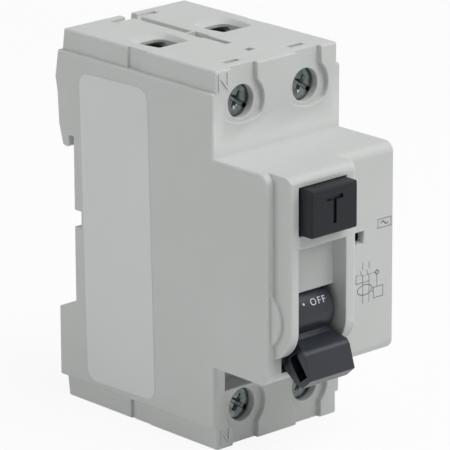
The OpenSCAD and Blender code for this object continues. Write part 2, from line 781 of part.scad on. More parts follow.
// Toggle
// Side view of the grip, drawn level: forward is -Y
module grip_outline() {
    reach = grip_reach;
    r = barrel_r;
    polygon([
        [0, 0.18 * r], [-0.34 * reach, 0.18 * r], [-0.46 * reach, 0.42 * r], [-0.62 * reach, 0.445 * r],
        [-0.7 * reach, 0.56 * r], [-reach, 0.13 * r], [-reach, -0.4 * r], [-0.835 * reach, -0.67 * r],
        [-0.62 * reach, -0.82 * r], [-0.51 * reach, -0.6 * r], [-0.29 * reach, -0.47 * r], [0, -0.47 * r]]);
}

module toggle() color(toggle_colour) {
    neck_half = barrel_w / 2 - 0.3;
    neck_end = barrel_r + 0.3;
    grip_half = grip_w / 2;
    // The neck widens to the grip's full width here
    grip_full = 0.62 * grip_reach;
    slot_d = 5;
    slot_far = 1.4;
    slot_near = 8.2;
    slot_low = -1.9;
    slot_high = 0.7;
    difference() {
        translate([0, toggle_y, toggle_z]) union() {
            rod_x(barrel_left, barrel_right, 0, 0, barrel_r);
            rotate([grip_rest, 0, 0]) difference() {
                intersection() {
                    along_x(ridge_x - grip_half, ridge_x + grip_half) grip_outline();
                    along_z(-barrel_r, barrel_r) translate([ridge_x, 0]) polygon([
                        [-neck_half, 0], [-neck_half, -neck_end], [-grip_half, -grip_full],
                        [-grip_half, -grip_reach], [grip_half, -grip_reach], [grip_half, -grip_full],
                        [neck_half, -neck_end], [neck_half, 0]]);
                }
                // Slots in both ends of the grip for a tie bar
                for (side = SIDES)
                    block(ridge_x + side * grip_half - slot_d, ridge_x + side * grip_half + slot_d,
                        slot_far - grip_reach, slot_near - grip_reach, slot_low, slot_high);
            }
        }
        rod_x(barrel_left - cut, barrel_right + cut, toggle_y, toggle_z, toggle_pin_r + run);
        // Seat of the drive link: a cross hole and the slot that the link swings in
        rod_x(link_x - 4.5, link_x, crank_y, crank_z, link_r + run);
        block(link_x - link_r - slip, barrel_right + cut, crank_y - link_r - slip / 2, toggle_y + barrel_r + cut,
            crank_z - link_r - slip, toggle_z + barrel_r + cut);
        // Room for the toggle's spring
        rod_x(barrel_left - cut, barrel_left + 4, toggle_y, toggle_z, 3);
    }
}

module toggle_pin() color(steel_colour)
    rod_x(window_left - ear_t, window_right + ear_t, toggle_y, toggle_z, toggle_pin_r);

// Torsion spring in the barrel's left end, with one leg on the ear and one in the barrel
module toggle_spring() color(steel_colour) {
    torsion_r = 2;
    torsion_wire_r = 0.25;
    torsion_turns = 4;
    translate([window_left + slip, toggle_y, toggle_z]) rotate([0, 90, 0])
        coil(torsion_r, torsion_wire_r, barrel_left + 4 - slip - window_left - slip, torsion_turns);
}

// Bent wire from the toggle's crank to the carrier's lug
module drive_link() color(steel_colour)
    wire([[link_x - 4.2, crank_y, crank_z], [link_x, crank_y, crank_z],
        [link_x, lug_y, lug_z], [link_end_x, lug_y, lug_z]], link_r);

// Test circuit
module test_button() color(button_colour) {
    half = button_w / 2;
    flange_half = half + button_flange;
    y_flange = y_wall_in + slip;
    block(ridge_x - half, ridge_x + half, y_button, y_flange + button_flange_t,
        button_z - button_h / 2, button_z + button_h / 2);
    block(ridge_x - flange_half, ridge_x + flange_half, y_flange, y_flange + button_flange_t,
        button_z - button_h / 2 - button_flange,
        min(button_z + button_h / 2 + button_flange, nose_half - wall - slip));
    rod_y(ridge_x, y_wall_in, y_stem_tip, button_z, button_stem_r);
}

module test_button_spring() color(steel_colour) {
    button_coil_r = 2.4;
    button_wire_r = 0.25;
    button_turns = 5;
    y0 = y_wall_in + slip + button_flange_t + seat;
    translate([ridge_x, y0, button_z]) rotate([-90, 0, 0])
        coil(button_coil_r, button_wire_r, y_blade - seat - y0, button_turns);
}

// Springy strip that the button's stem closes, held between two ribs
module test_contact_blade() color(copper_colour)
    block(window_left - 1 + seat, window_right + 0.8 - seat, y_blade, y_blade + blade_t,
        button_z - blade_h / 2 + 1, button_z + blade_h / 2 - 1);

module test_resistor() color(inner_colour) {
    resistor_side = 5;
    resistor_back = 4;
    resistor_drop = 6;
    lead_bend = 4;
    lead_sweep = 14;
    lead_step = 1.2;
    resistor_x = ridge_x - resistor_side;
    resistor_y = y_blade + resistor_back;
    resistor_top = button_z - blade_h / 2 - resistor_drop;
    resistor_r = 1.6;
    resistor_l = 8;
    lead_r = 0.35;
    lead_x = -conductor_x - conductor_t / 2 - lead_r - seat;
    rod_z(resistor_x, resistor_y, resistor_top - resistor_l, resistor_top, resistor_r);
    blade_low = [resistor_x, y_blade + blade_t / 2, button_z - blade_h / 2 + 1 - seat];
    body_top = [resistor_x, resistor_y, resistor_top - cut];
    lead(blade_low, blade_low - [0, 0, lead_bend], body_top + [0, 0, lead_bend], body_top, lead_r);
    body_low = [resistor_x, resistor_y, resistor_top - resistor_l + cut];
    conductor_side = [lead_x, ring_y, conductor_top - lead_step];
    lead(body_low, body_low - [0, 0, 2 * lead_bend], conductor_side - [0, lead_sweep, 0], conductor_side, lead_r);
}

// Trip gear
module trip_flag() color(flag_colour) {
    tab_half = 1.5;
    flag_top = flag_z - flag_window_h / 2 - slip;
    tab_low = flag_top - 2.4;
    block(flag_x - flag_w / 2, flag_x + flag_w / 2, y_flag, y_flag + flag_t, flag_z - 7.5, flag_top);
    block(flag_x - tab_half, flag_x + tab_half, y_flag, y_flag + 2.6, tab_low, tab_low + 1);
}

// Lever that the relay's plunger lifts: hub, front arm and catch arm
module trip_lever() color(inner_colour) {
    hub_r = 2.5;
    arm_half = 1.4;
    arm_t2 = 1.6;
    front_z = flag_z - flag_window_h / 2 - 3.9;
    catch_reach = -carrier_y - 6.4;
    difference() {
        union() {
            rod_x(lever_left, lever_right, lever_y, lever_z, hub_r);
            along_x(flag_x - arm_half, flag_x + arm_half) polygon([
                [lever_y, lever_z - arm_t2], [lever_y - arm_reach, front_z],
                [lever_y - arm_reach, front_z + 0.8], [lever_y, lever_z + arm_t2]]);
            along_x(lever_left, lever_left + catch_w) polygon([
                [lever_y, lever_z - arm_t2], [carrier_y - 6.2, lever_z - 1.8], [carrier_y - 6.2, lever_z + 0.6],
                [carrier_y - 7.4, lever_z + 0.2], [lever_y, lever_z + arm_t2]]);
        }
        rod_x(lever_left - cut, lever_right + cut, lever_y, lever_z, pin_r + run);
    }
}

module trip_lever_pin() color(steel_colour)
    rod_x(lever_left - slip - 1.5, in_half - seat, lever_y, lever_z, pin_r);

module trip_lever_spring() color(steel_colour) {
    lever_coil_r = 1.9;
    lever_wire_r = 0.2;
    lever_turns = 2;
    translate([lever_right + seat, lever_y, lever_z]) rotate([0, 90, 0])
        coil(lever_coil_r, lever_wire_r, in_half - 1.6 - lever_right - 2 * seat, lever_turns);
}

module relay_case() color(inner_colour) {
    lid_t = 2;
    foot = 0.6;
    difference() {
        union() {
            block(relay_x - relay_w / 2, relay_x + relay_w / 2, relay_front, relay_back, relay_low,
                relay_top - lid_t);
            block(relay_x - relay_w / 2 + foot, relay_x + relay_w / 2 - foot, relay_front + foot,
                relay_back - foot, relay_top - lid_t - seat, relay_top);
        }
        rod_z(flag_x, plunger_y, relay_top - 8, relay_top + cut, plunger_r + run);
    }
}

module relay_plunger() color(steel_colour) {
    plunger_top = lever_z - 4.6;
    rod_z(flag_x, plunger_y, relay_top - 7, plunger_top, plunger_r);
}

// Two wires from the winding to the relay
module relay_wires() color(copper_colour) {
    wire_r = 0.4;
    wire_gap = 3.5;
    stub = 3;
    lie = 2;
    z_pin = relay_top - stub;
    z_ring = ring_top + wire_r + seat;
    for (x = [relay_x - wire_gap / 2, relay_x + wire_gap / 2])
        wire([[x, relay_back + seat, z_pin], [x, relay_back + stub, z_pin],
            [x, relay_back + 2 * stub, z_ring], [x, relay_back + 2 * stub + lie, z_ring]], wire_r);
}

// Switch gear
// Turns the carrier's pieces from closed, as they are drawn, to open
module at_rest() {
    translate([0, carrier_y, carrier_z]) rotate([-carrier_swing, 0, 0]) translate([0, -carrier_y, -carrier_z])
        children();
}

module contact_carrier() color(inner_colour) {
    carrier_half = in_half - wall - slip;
    slot_half = link_r + link_play;
    lug_width = 2 * slot_half + 2.2;
    lug_foot = slot_half + 1.1;
    post_y = carrier_y + 0.5;
    post_t = 1.5;
    post_top = tip_z - 2;
    difference() {
        union() {
            at_rest() {
                rod_x(-carrier_half, carrier_half, carrier_y, carrier_z, carrier_r);
                for (side = SIDES) {
                    x = side * contact_x;
                    block(x - arm_w / 2, x + arm_w / 2, y_arm_back, carrier_y, carrier_z - 2, carrier_z + 2);
                    block(x - arm_w / 2, x + arm_w / 2, post_y, post_y + post_t, carrier_z, post_top);
                }
                // Nose that the trip lever's catch holds
                block(lever_left, lever_left + catch_w, carrier_y - 5.4, carrier_y, carrier_z + 1,
                    carrier_z + 2.6);
            }
            // Lug that the drive link pushes
            along_x(lug_x, lug_x + lug_t) {
                translate([lug_y, lug_z]) rotate(-carrier_swing / 2)
                    translate([-lug_width / 2, -lug_foot]) square([lug_width, lug_slot_rise + 2 * lug_foot]);
                polygon([[lug_y - lug_width / 2, lug_z], [lug_y + lug_width / 2, lug_z],
                    [carrier_y + carrier_r - 0.4, carrier_z], [carrier_y - carrier_r + 0.4, carrier_z]]);
            }
        }
        rod_x(-in_half, in_half, carrier_y, carrier_z, pin_r + run);
        // Slot for the link's end
        along_x(lug_x - cut, lug_x + lug_t + cut) translate([lug_y, lug_z]) rotate(-carrier_swing / 2) {
            translate([-slot_half, 0]) square([2 * slot_half, lug_slot_rise]);
            for (z = [0, lug_slot_rise]) translate([0, z]) circle(slot_half);
        }
    }
}

module carrier_pin() color(steel_colour)
    rod_x(-in_half + seat, in_half - seat, carrier_y, carrier_z, pin_r);

module moving_contact(side) color(copper_colour) {
    x = side * contact_x;
    at_rest() along_y(y_arm_front, y_arm_back)
        round_rect(x - arm_w / 2, x + arm_w / 2, carrier_z - arm_tail, carrier_z + arm_l, 1);
}
module moving_contact_left() moving_contact(LEFT);
module moving_contact_right() moving_contact(RIGHT);

module moving_contact_tips() color(silver_colour)
    at_rest() for (side = SIDES) rod_y(side * contact_x, y_arm_front - tip_t, y_arm_front, tip_z, tip_r);

// Springs that press the arms forward, between arm and carrier post
module contact_springs() color(steel_colour) {
    contact_coil_r = 1.2;
    contact_wire_r = 0.2;
    contact_turns = 4;
    spring_z = carrier_z + 7;
    at_rest() for (side = SIDES)
        translate([side * contact_x, y_arm_back + seat, spring_z]) rotate([-90, 0, 0])
            coil(contact_coil_r, contact_wire_r, carrier_y + 0.5 - y_arm_back - 2 * seat, contact_turns);
}

// Flexible braids from the load conductors to the arms' tails
module contact_braids() color(copper_colour) {
    braid_r = 0.9;
    braid_rise = 5;
    braid_lay = 6;
    braid_hold = 1.5;
    turn = carrier_swing;
    tail_y = y_arm_front - braid_r - slip - carrier_y;
    tail_z = -arm_tail + braid_hold;
    end_y = carrier_y + tail_y * cos(turn) + tail_z * sin(turn);
    end_z = carrier_z - tail_y * sin(turn) + tail_z * cos(turn);
    // The braid's last stretch lies along the open arm
    tail_run = [-sin(turn), -cos(turn)];
    for (side = SIDES)
        lead([side * conductor_x, ring_y, conductor_top + seat],
            [side * conductor_x, ring_y, conductor_top + braid_rise],
            [side * contact_x, end_y + braid_lay * tail_run[0], end_z + braid_lay * tail_run[1]],
            [side * contact_x, end_y, end_z], braid_r);
}

// Copper strip from an upper terminal to its fixed contact
module line_contact(side) color(copper_colour) {
    x = side * pole_x;
    along_y(y_strip_front, y_strip_back)
        round_rect(x - strip_w / 2, x + strip_w / 2, tip_z - 3, cell_end - 0.5, 0.8);
}
module line_contact_left() line_contact(LEFT);
module line_contact_right() line_contact(RIGHT);

module line_contact_tips() color(silver_colour)
    for (side = SIDES)
        rod_y(side * contact_x, y_strip_back, y_arm_front - tip_t - tip_gap, tip_z, tip_r);

// Copper strip from a lower terminal, drawn in and led up through the ring
module load_conductor(side) color(copper_colour) {
    jog_z = -partition_z + 0.8;
    jog_h = 2.2;
    half = conductor_t / 2;
    mirror([side < 0 ? 1 : 0, 0, 0]) {
        along_y(y_strip_front, y_strip_back)
            round_rect(pole_x - strip_w / 2, pole_x + strip_w / 2, -cell_end + 0.5, -partition_z + 1.6, 0.8);
        block(conductor_x - half, pole_x, y_strip_front, ring_y + half, jog_z, jog_z + jog_h);
        block(conductor_x - half, conductor_x + half, ring_y - half, ring_y + half, jog_z, conductor_top);
    }
}
module load_conductor_left() load_conductor(LEFT);
module load_conductor_right() load_conductor(RIGHT);

module toroid_core() color(inner_colour)
    translate([0, ring_y, ring_low + winding_t]) rotate_extrude()
        translate([ring_in_r, 0]) square([ring_out_r - ring_in_r, ring_h]);

// Winding over the ring's right half
module toroid_winding() color(copper_colour)
    translate([0, ring_y, ring_low]) rotate([0, 0, -70]) rotate_extrude(angle = 140) difference() {
        translate([ring_in_r - winding_t, 0])
            square([ring_out_r - ring_in_r + 2 * winding_t, ring_h + 2 * winding_t]);
        translate([ring_in_r, winding_t]) square([ring_out_r - ring_in_r, ring_h]);
    }

// Terminals
// Screw with a combined slot and cross in its head
module terminal_screw(pole, end) color(steel_colour) {
    x = pole * pole_x;
    z = end * screw_z;
    drive_d = 1.2;
    slot_half = 0.45;
    cross_half = 0.6;
    cross_reach = 2;
    difference() {
        union() {
            rod_y(x, y_head, y_head + head_l, z, head_r);
            rod_y(x, y_head + head_l - cut, y_screw_tip, z, screw_r - run);
        }
        translate([x, y_head, z]) rotate([0, 35, 0]) {
            block(-head_r - cut, head_r + cut, -cut, drive_d, -slot_half, slot_half);
            block(-cross_half, cross_half, -cut, drive_d * 1.5, -cross_reach, cross_reach);
            block(-cross_reach, cross_reach, -cut, drive_d * 1.5, -cross_half, cross_half);
        }
    }
}
module terminal_screw_upper_left() terminal_screw(LEFT, UPPER);
module terminal_screw_upper_right() terminal_screw(RIGHT, UPPER);
module terminal_screw_lower_left() terminal_screw(LEFT, LOWER);
module terminal_screw_lower_right() terminal_screw(RIGHT, LOWER);

// Clamp cage: a square loop round the strip and the cable, threaded on the screw
module terminal_cage(pole, end) color(steel_colour) {
    x = pole * pole_x;
    z0 = end * screw_z - cage_h / 2;
    difference() {
        along_z(z0, z0 + cage_h)
            round_rect(x - cage_out_half, x + cage_out_half, y_cage_front, y_cage_back, 0.8);
        block(x - cage_in_w / 2, x + cage_in_w / 2, y_cage_front + cage_front_t, y_cage_back - cage_back_t,
            z0 - cut, z0 + cage_h + cut);
        rod_y(x, y_cage_front - cut, y_cage_front + cage_front_t + cut, end * screw_z, screw_r);
    }
}
module terminal_cage_upper_left() terminal_cage(LEFT, UPPER);
module terminal_cage_upper_right() terminal_cage(RIGHT, UPPER);
module terminal_cage_lower_left() terminal_cage(LEFT, LOWER);
module terminal_cage_lower_right() terminal_cage(RIGHT, LOWER);

rear_base();
front_cover();
side_label();
din_clip();
din_clip_spring();
toggle();
toggle_pin();
toggle_spring();
drive_link();
test_button();
test_button_spring();
test_contact_blade();
test_resistor();
trip_flag();
trip_lever();
trip_lever_pin();
trip_lever_spring();
relay_case();
relay_plunger();
relay_wires();
contact_carrier();
carrier_pin();
moving_contact_left();
moving_contact_right();
moving_contact_tips();
contact_springs();
contact_braids();
line_contact_left();
line_contact_right();
line_contact_tips();
load_conductor_left();
load_conductor_right();
toroid_core();
toroid_winding();
terminal_screw_upper_left();
terminal_screw_upper_right();
terminal_screw_lower_left();
terminal_screw_lower_right();
terminal_cage_upper_left();
terminal_cage_upper_right();
terminal_cage_lower_left();
terminal_cage_lower_right();
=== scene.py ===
# Dressed model of a two-pole residual-current breaker, in metres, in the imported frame:
# origin at the middle of the rail seat, front towards -Y, up is +Z, left is -X.
import json
import math

import bmesh
import bpy
from mathutils import Matrix, Vector


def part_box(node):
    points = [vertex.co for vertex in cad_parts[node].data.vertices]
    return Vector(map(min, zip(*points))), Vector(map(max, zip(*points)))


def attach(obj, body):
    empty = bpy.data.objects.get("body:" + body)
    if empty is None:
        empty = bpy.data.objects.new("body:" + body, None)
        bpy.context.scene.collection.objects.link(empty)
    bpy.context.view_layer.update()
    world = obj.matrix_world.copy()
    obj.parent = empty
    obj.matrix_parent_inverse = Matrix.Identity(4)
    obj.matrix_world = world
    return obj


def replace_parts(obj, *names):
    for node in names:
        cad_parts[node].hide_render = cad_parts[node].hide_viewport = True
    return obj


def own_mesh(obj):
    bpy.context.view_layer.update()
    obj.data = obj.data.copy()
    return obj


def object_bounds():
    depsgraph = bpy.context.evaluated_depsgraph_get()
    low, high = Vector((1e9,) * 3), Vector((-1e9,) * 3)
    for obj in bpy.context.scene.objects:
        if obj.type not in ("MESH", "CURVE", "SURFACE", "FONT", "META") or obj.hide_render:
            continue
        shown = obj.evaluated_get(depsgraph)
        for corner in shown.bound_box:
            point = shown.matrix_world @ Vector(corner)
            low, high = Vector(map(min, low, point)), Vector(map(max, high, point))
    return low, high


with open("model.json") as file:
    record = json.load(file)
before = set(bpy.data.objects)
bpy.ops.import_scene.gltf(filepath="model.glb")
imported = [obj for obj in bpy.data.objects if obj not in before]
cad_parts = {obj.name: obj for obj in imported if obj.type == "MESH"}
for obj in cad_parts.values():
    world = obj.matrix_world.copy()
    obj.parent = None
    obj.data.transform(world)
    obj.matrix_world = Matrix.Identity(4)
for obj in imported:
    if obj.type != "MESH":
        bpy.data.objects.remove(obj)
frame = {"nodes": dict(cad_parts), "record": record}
cad_low, cad_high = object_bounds()
MM = 0.001

# Planes and axes of the casing, in millimetres, as the solids have them
PLATE_X, BLOCK_X = 18.0, 17.1
TERMINAL_Y, NOSE_Y, WINDOW_Y = -43.5, -59.5, -60.6
PLATE_SEAM_Y, BLOCK_SEAM_Y = -25.5, -17.4
BLOCK_Z, PLATE_Z, NOSE_Z = 40.8, 36.2, 22.5
TOGGLE_X, TOGGLE_Y, TOGGLE_Z = -7.092, -57.1, -8.6
BARREL_R = 5.5
ENTRY_X = 9.0
# Places closer than this, in millimetres, are the same place
SAME_PLACE = 0.02


# Colours and shader nodes
def colour(hex_code):
    """An sRGB hex colour as the linear colour that a shader takes."""
    parts = [int(hex_code[i : i + 2], 16) / 255 for i in (1, 3, 5)]
    return [p / 12.92 if p <= 0.04045 else ((p + 0.055) / 1.055) ** 2.4 for p in parts] + [1.0]


def add(tree, kind, inputs=None, **settings):
    """Adds one shader node, with its settings and with its sockets given a value or a link."""
    made = tree.nodes.new(kind)
    for name, value in settings.items():
        setattr(made, name, value)
    for socket, value in (inputs or {}).items():
        if isinstance(value, bpy.types.NodeSocket):
            tree.links.new(value, made.inputs[socket])
        else:
            made.inputs[socket].default_value = value
    return made


def finish(name, dark, pale, blotch, grain, depth, rough, stretch=(1, 1, 1), **sockets):
    """A solid finish: two near colours in soft blotches, and a fine grain in gloss and relief.
    Blotch, grain and depth are in millimetres, rough is the range of roughness, and stretch
    draws the grain out along an axis."""
    made = bpy.data.materials.new(name)
    made.use_nodes = True
    tree = made.node_tree
    tree.nodes.clear()
    place = add(tree, "ShaderNodeTexCoord").outputs["Object"]
    drawn = add(tree, "ShaderNodeMapping", {"Vector": place, "Scale": stretch}).outputs["Vector"]
    cloud = add(tree, "ShaderNodeTexNoise", {"Vector": place, "Scale": 1 / (blotch * MM), "Detail": 3.0})
    fine = add(tree, "ShaderNodeTexNoise", {"Vector": drawn, "Scale": 1 / (grain * MM), "Detail": 2.0})
    tint = add(tree, "ShaderNodeMix", {"Factor": cloud.outputs["Fac"], "A": colour(dark), "B": colour(pale)},
        data_type="RGBA")
    gloss = add(tree, "ShaderNodeMapRange", {"Value": fine.outputs["Fac"], "From Min": 0.3, "From Max": 0.7,
        "To Min": rough[0], "To Max": rough[1]})
    relief = add(tree, "ShaderNodeBump", {"Height": fine.outputs["Fac"], "Strength": 1.0,
        "Distance": depth * MM})
    shader = add(tree, "ShaderNodeBsdfPrincipled", {"Base Color": tint.outputs["Result"],
        "Roughness": gloss.outputs["Result"], "Normal": relief.outputs["Normal"], **sockets})
    add(tree, "ShaderNodeOutputMaterial", {"Surface": shader.outputs["BSDF"]})
    return made


# Polyamide of the casing, moulded matt from a spark-eroded tool: edges glow softly, faces stay even.
# The tool's grain of 0.15 mm is drawn at 0.45 mm to show.
casing_plastic = finish("moulded_casing_polyamide", "#c4c6c4", "#cacdcb", 14, 0.45, 0.010, (0.45, 0.58),
    IOR=1.5)
# Polyester film of the side label: a shade paler and smoother than the casing
label_film = finish("polyester_label_film", "#d5d7d7", "#d9dbdb", 22, 0.6, 0.003, (0.36, 0.44), IOR=1.55)
# Glass-filled polyamide of the toggle: dark slate, satin from the tool
toggle_polyamide = finish("moulded_slate_polyamide", "#1c2129", "#242932", 9, 0.4, 0.002, (0.28, 0.38),
    **{"IOR": 1.5, "Specular IOR Level": 0.45})
# The test button is the same plastic in a blacker mix
button_polyamide = finish("moulded_black_polyamide", "#11151b", "#161a20", 9, 0.4, 0.003, (0.36, 0.48),
    **{"IOR": 1.5, "Specular IOR Level": 0.28})
# Bright zinc plate on the turned screws, cool and slightly cloudy, with painted reflection: its dark teal
# blotches paint the dark surroundings that the heads mirror, between their real reflections
zinc_painted_reflection = finish("zinc_with_painted_reflection", "#08232a", "#8f9594", 2.2, 0.5, 0.05, (0.1, 0.24), Metallic=1.0)
# Pressed cage steel, zinc plated and duller
cage_plate = finish("dull_zinc_plate", "#7e8082", "#989a9a", 3, 0.4, 0.01, (0.38, 0.55), Metallic=1.0)
# Drawn spring wire: fine lines along the draw, satin grey
spring_wire = finish("drawn_spring_steel", "#7c7f83", "#94979b", 2, 0.25, 0.003, (0.25, 0.36), Metallic=1.0)
# Rolled copper strip: warm, with the mill's lines along its length
copper_strip = finish("rolled_copper", "#b06f4c", "#c58662", 6, 0.35, 0.005, (0.26, 0.42), (1, 1, 0.08),
    Metallic=1.0)
# Silver contact face: pale and slightly clouded
silver_tip = finish("silver_contact", "#c9c7c0", "#d8d6d0", 1.5, 0.25, 0.004, (0.28, 0.42), Metallic=1.0)
# Copper braid: strands of 0.1 mm, drawn at 0.25 mm, catch the light in flecks
copper_braid = finish("copper_braid", "#9c5f40", "#c9875f", 0.6, 0.25, 0.05, (0.35, 0.55), Metallic=1.0)
# Black moulded polyamide of the inner mechanism
inner_plastic = finish("moulded_black_mechanism", "#26272a", "#2e2f32", 7, 0.5, 0.014, (0.45, 0.6), IOR=1.53)
# Red signal plate, matt
flag_plastic = finish("moulded_red_plastic", "#6e1d17", "#7c261d", 4, 0.4, 0.01, (0.45, 0.58), IOR=1.5)
# Enamelled copper wire: a brown gloss, broken up wire by wire
winding_wire = finish("enamelled_winding", "#7d3c1e", "#a4572c", 0.8, 0.4, 0.06, (0.2, 0.34), IOR=1.55)
# Wound core in its plastic trough, satin grey
core_tape = finish("moulded_core_trough", "#5c5f63", "#6d7074", 3, 0.5, 0.01, (0.4, 0.55), IOR=1.5)
# Relay case, black and a little glossier than the mechanism
relay_plastic = finish("moulded_relay_case", "#1f2226", "#282b30", 6, 0.5, 0.012, (0.35, 0.5), IOR=1.55)
# Lacquered resistor body, tan with a low gloss
resistor_lacquer = finish("resistor_lacquer", "#b79a6b", "#c4a878", 2, 0.4, 0.006, (0.28, 0.4), IOR=1.5)
# Lacquered copper lead
lead_lacquer = finish("lacquered_copper_lead", "#9b5f3c", "#b27148", 1.5, 0.3, 0.004, (0.25, 0.36), IOR=1.5)
# Pad-printed inks: thin, nearly flat, a little uneven
white_ink = finish("white_pad_print", "#c9ccd1", "#d6d9dd", 1.2, 0.3, 0.003, (0.5, 0.6), IOR=1.5)
grey_ink = finish("grey_pad_print", "#85898b", "#8f9394", 1.2, 0.3, 0.003, (0.5, 0.6), IOR=1.5)

FINISHES = {"casing": casing_plastic, "label": label_film, "toggle": toggle_polyamide,
    "button": button_polyamide, "screw_steel": zinc_painted_reflection, "cage_steel": cage_plate,
    "spring_steel": spring_wire, "copper": copper_strip, "silver": silver_tip, "braid": copper_braid,
    "mechanism_plastic": inner_plastic, "flag": flag_plastic, "winding": winding_wire, "core": core_tape,
    "relay": relay_plastic, "resistor": resistor_lacquer, "wire_sheath": lead_lacquer}

# Which finish each solid takes and which body it rides on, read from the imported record
slot_of = {s["node"]: s["material_slot"] for s in frame["record"]["subparts"]}
body_of = {n: b for b, nodes in frame["record"]["behaviour"]["bodies"].items() for n in nodes}
for name, solid in frame["nodes"].items():
    solid.data.materials.clear()
    solid.data.materials.append(FINISHES[slot_of[name]])


def keep(mesh, name, slot, body, ink=None):
    """Turns a bmesh, in metres, into a finished piece that rides on a body."""
    data = bpy.data.meshes.new(name)
    mesh.to_mesh(data)
    mesh.free()
    piece = bpy.data.objects.new(name, data)
    bpy.context.scene.collection.objects.link(piece)
    data.materials.append(ink or FINISHES[slot])
    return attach(piece, body)


def to_metres(mesh):
    """Brings a mesh that was drawn in millimetres to metres."""
    bmesh.ops.scale(mesh, verts=mesh.verts, vec=(MM,) * 3)
    return mesh


def soften(mesh, edges, radius, segments):
    """Rounds some edges of a mesh."""
    bmesh.ops.bevel(mesh, geom=edges, offset=radius, offset_type="OFFSET", affect="EDGES",
        segments=segments, profile=0.5, material=-1)


def cut_across(mesh, y):
    """Cuts through a mesh at one place along Y."""
    bmesh.ops.bisect_plane(mesh, geom=mesh.verts[:] + mesh.edges[:] + mesh.faces[:],
        plane_co=(0, y, 0), plane_no=(0, 1, 0))


# Moulded pieces: copies of the solids with rounded edges. Radii are in millimetres.
SHARPEST_SMOOTH = math.radians(38)
LARGEST_CORNER = 0.6
# The casing's edges: at the toggle's window, and by how many large outer faces an edge has
WINDOW_CORNER, CASING_CORNERS = 0.5, (0.2, 0.25, 0.55)
CLIP_CORNER, LEVER_CORNER = 0.3, 0.1
# A face whose normal has this share along an axis lies square to it
SQUARE = 0.999
# Reach of the rounding along the nose's upper and lower front edges
NOSE_ROUND = 2.3
# The casing's hollow: half its width, half the height of the cells and of the nose, and its ends
HOLLOW_X, CELLS_Z, NOSE_HOLLOW_Z = 16.3, 38.2, 21.5
CELLS_BACK_Y, CELLS_FRONT_Y, NOSE_HOLLOW_Y = -4.4, -41.5, -57.8
# Dished mouths of the cable entries, whose edges the soft rims cover
DISH_HALF, DISH_FRONT_Y, DISH_BACK_Y, DISH_Z = 5.3, -22.2, -11, 39.6


def on_plane(face, axis, places):
    """Whether a face lies square on one of the given planes, in millimetres along an axis."""
    return abs(face.normal[axis]) > SQUARE and min(
        abs(abs(face.calc_center_median()[axis]) / MM - abs(p)) for p in places) < SAME_PLACE


def is_outside(face):
    """Whether a face is one of the casing's large outer faces."""
    middle = face.calc_center_median() / MM
    nose_round = (abs(face.normal.x) < 0.01 and middle.y < NOSE_Y + NOSE_ROUND
        and abs(middle.z) > NOSE_Z - NOSE_ROUND)
    return (nose_round or on_plane(face, 0, (PLATE_X, BLOCK_X)) or on_plane(face, 1, (TERMINAL_Y, NOSE_Y))
        or on_plane(face, 2, (BLOCK_Z, PLATE_Z, NOSE_Z)))


def is_inside(place):
    """Whether a place, in millimetres, is in the hollow of the casing, where no edge shows."""
    cells = abs(place.z) < CELLS_Z and CELLS_FRONT_Y < place.y < CELLS_BACK_Y
    nose = abs(place.z) < NOSE_HOLLOW_Z and NOSE_HOLLOW_Y < place.y <= CELLS_FRONT_Y
    return abs(place.x) < HOLLOW_X and (cells or nose)


def is_seam(face):
    """Whether a face closes on the other half of the casing."""
    ledge = on_plane(face, 2, (PLATE_Z,)) and face.normal.z * face.calc_center_median().z < 0
    return ledge or on_plane(face, 1, (PLATE_SEAM_Y, BLOCK_SEAM_Y))


def casing_corner(edge):
    """Radius of an edge of the casing: soft outside, tight at openings, none along the seams."""
    if any(is_seam(f) for f in edge.link_faces):
        return 0
    middle = (edge.verts[0].co + edge.verts[1].co) / (2 * MM)
    dish = (abs(abs(middle.x) - ENTRY_X) < DISH_HALF and DISH_FRONT_Y < middle.y < DISH_BACK_Y
        and abs(middle.z) > DISH_Z)
    if dish or is_inside(middle):
        return 0
    if abs(middle.y - WINDOW_Y) < SAME_PLACE and middle.z < 0:
        return WINDOW_CORNER
    return CASING_CORNERS[sum(is_outside(f) for f in edge.link_faces)]


def solid_copy(node):
    """The mesh of a solid with its triangles joined to flat faces."""
    mesh = bmesh.new()
    mesh.from_mesh(frame["nodes"][node].data)
    bmesh.ops.remove_doubles(mesh, verts=mesh.verts, dist=1e-6)
    bmesh.ops.dissolve_limit(mesh, angle_limit=math.radians(0.5), verts=mesh.verts, edges=mesh.edges)
    return mesh


def moulded(mesh, node, corner, sharpest=SHARPEST_SMOOTH):
    """Makes a solid's copy a piece that stands for it, with its outer edges rounded.
    corner gives the radius of an edge in millimetres, and faces that meet at less than sharpest
    flow together."""
    weight = mesh.edges.layers.float.new("bevel_weight_edge")
    for edge in mesh.edges:
        whole = len(edge.link_faces) == 2
        outer = whole and edge.calc_face_angle_signed() > sharpest
        edge[weight] = corner(edge) / LARGEST_CORNER if outer else 0
        edge.smooth = edge[weight] > 0 or whole and edge.calc_face_angle() < sharpest
    for face in mesh.faces:
        face.smooth = True
    piece = keep(mesh, node + "_moulded", slot_of[node], body_of[node])
    rounding = piece.modifiers.new("rounded_edges", "BEVEL")
    rounding.limit_method = "WEIGHT"
    rounding.width = LARGEST_CORNER * MM
    rounding.segments = 3
    rounding.use_clamp_overlap = False
    piece.modifiers.new("even_faces", "WEIGHTED_NORMAL").keep_sharp = True
    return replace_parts(piece, node)


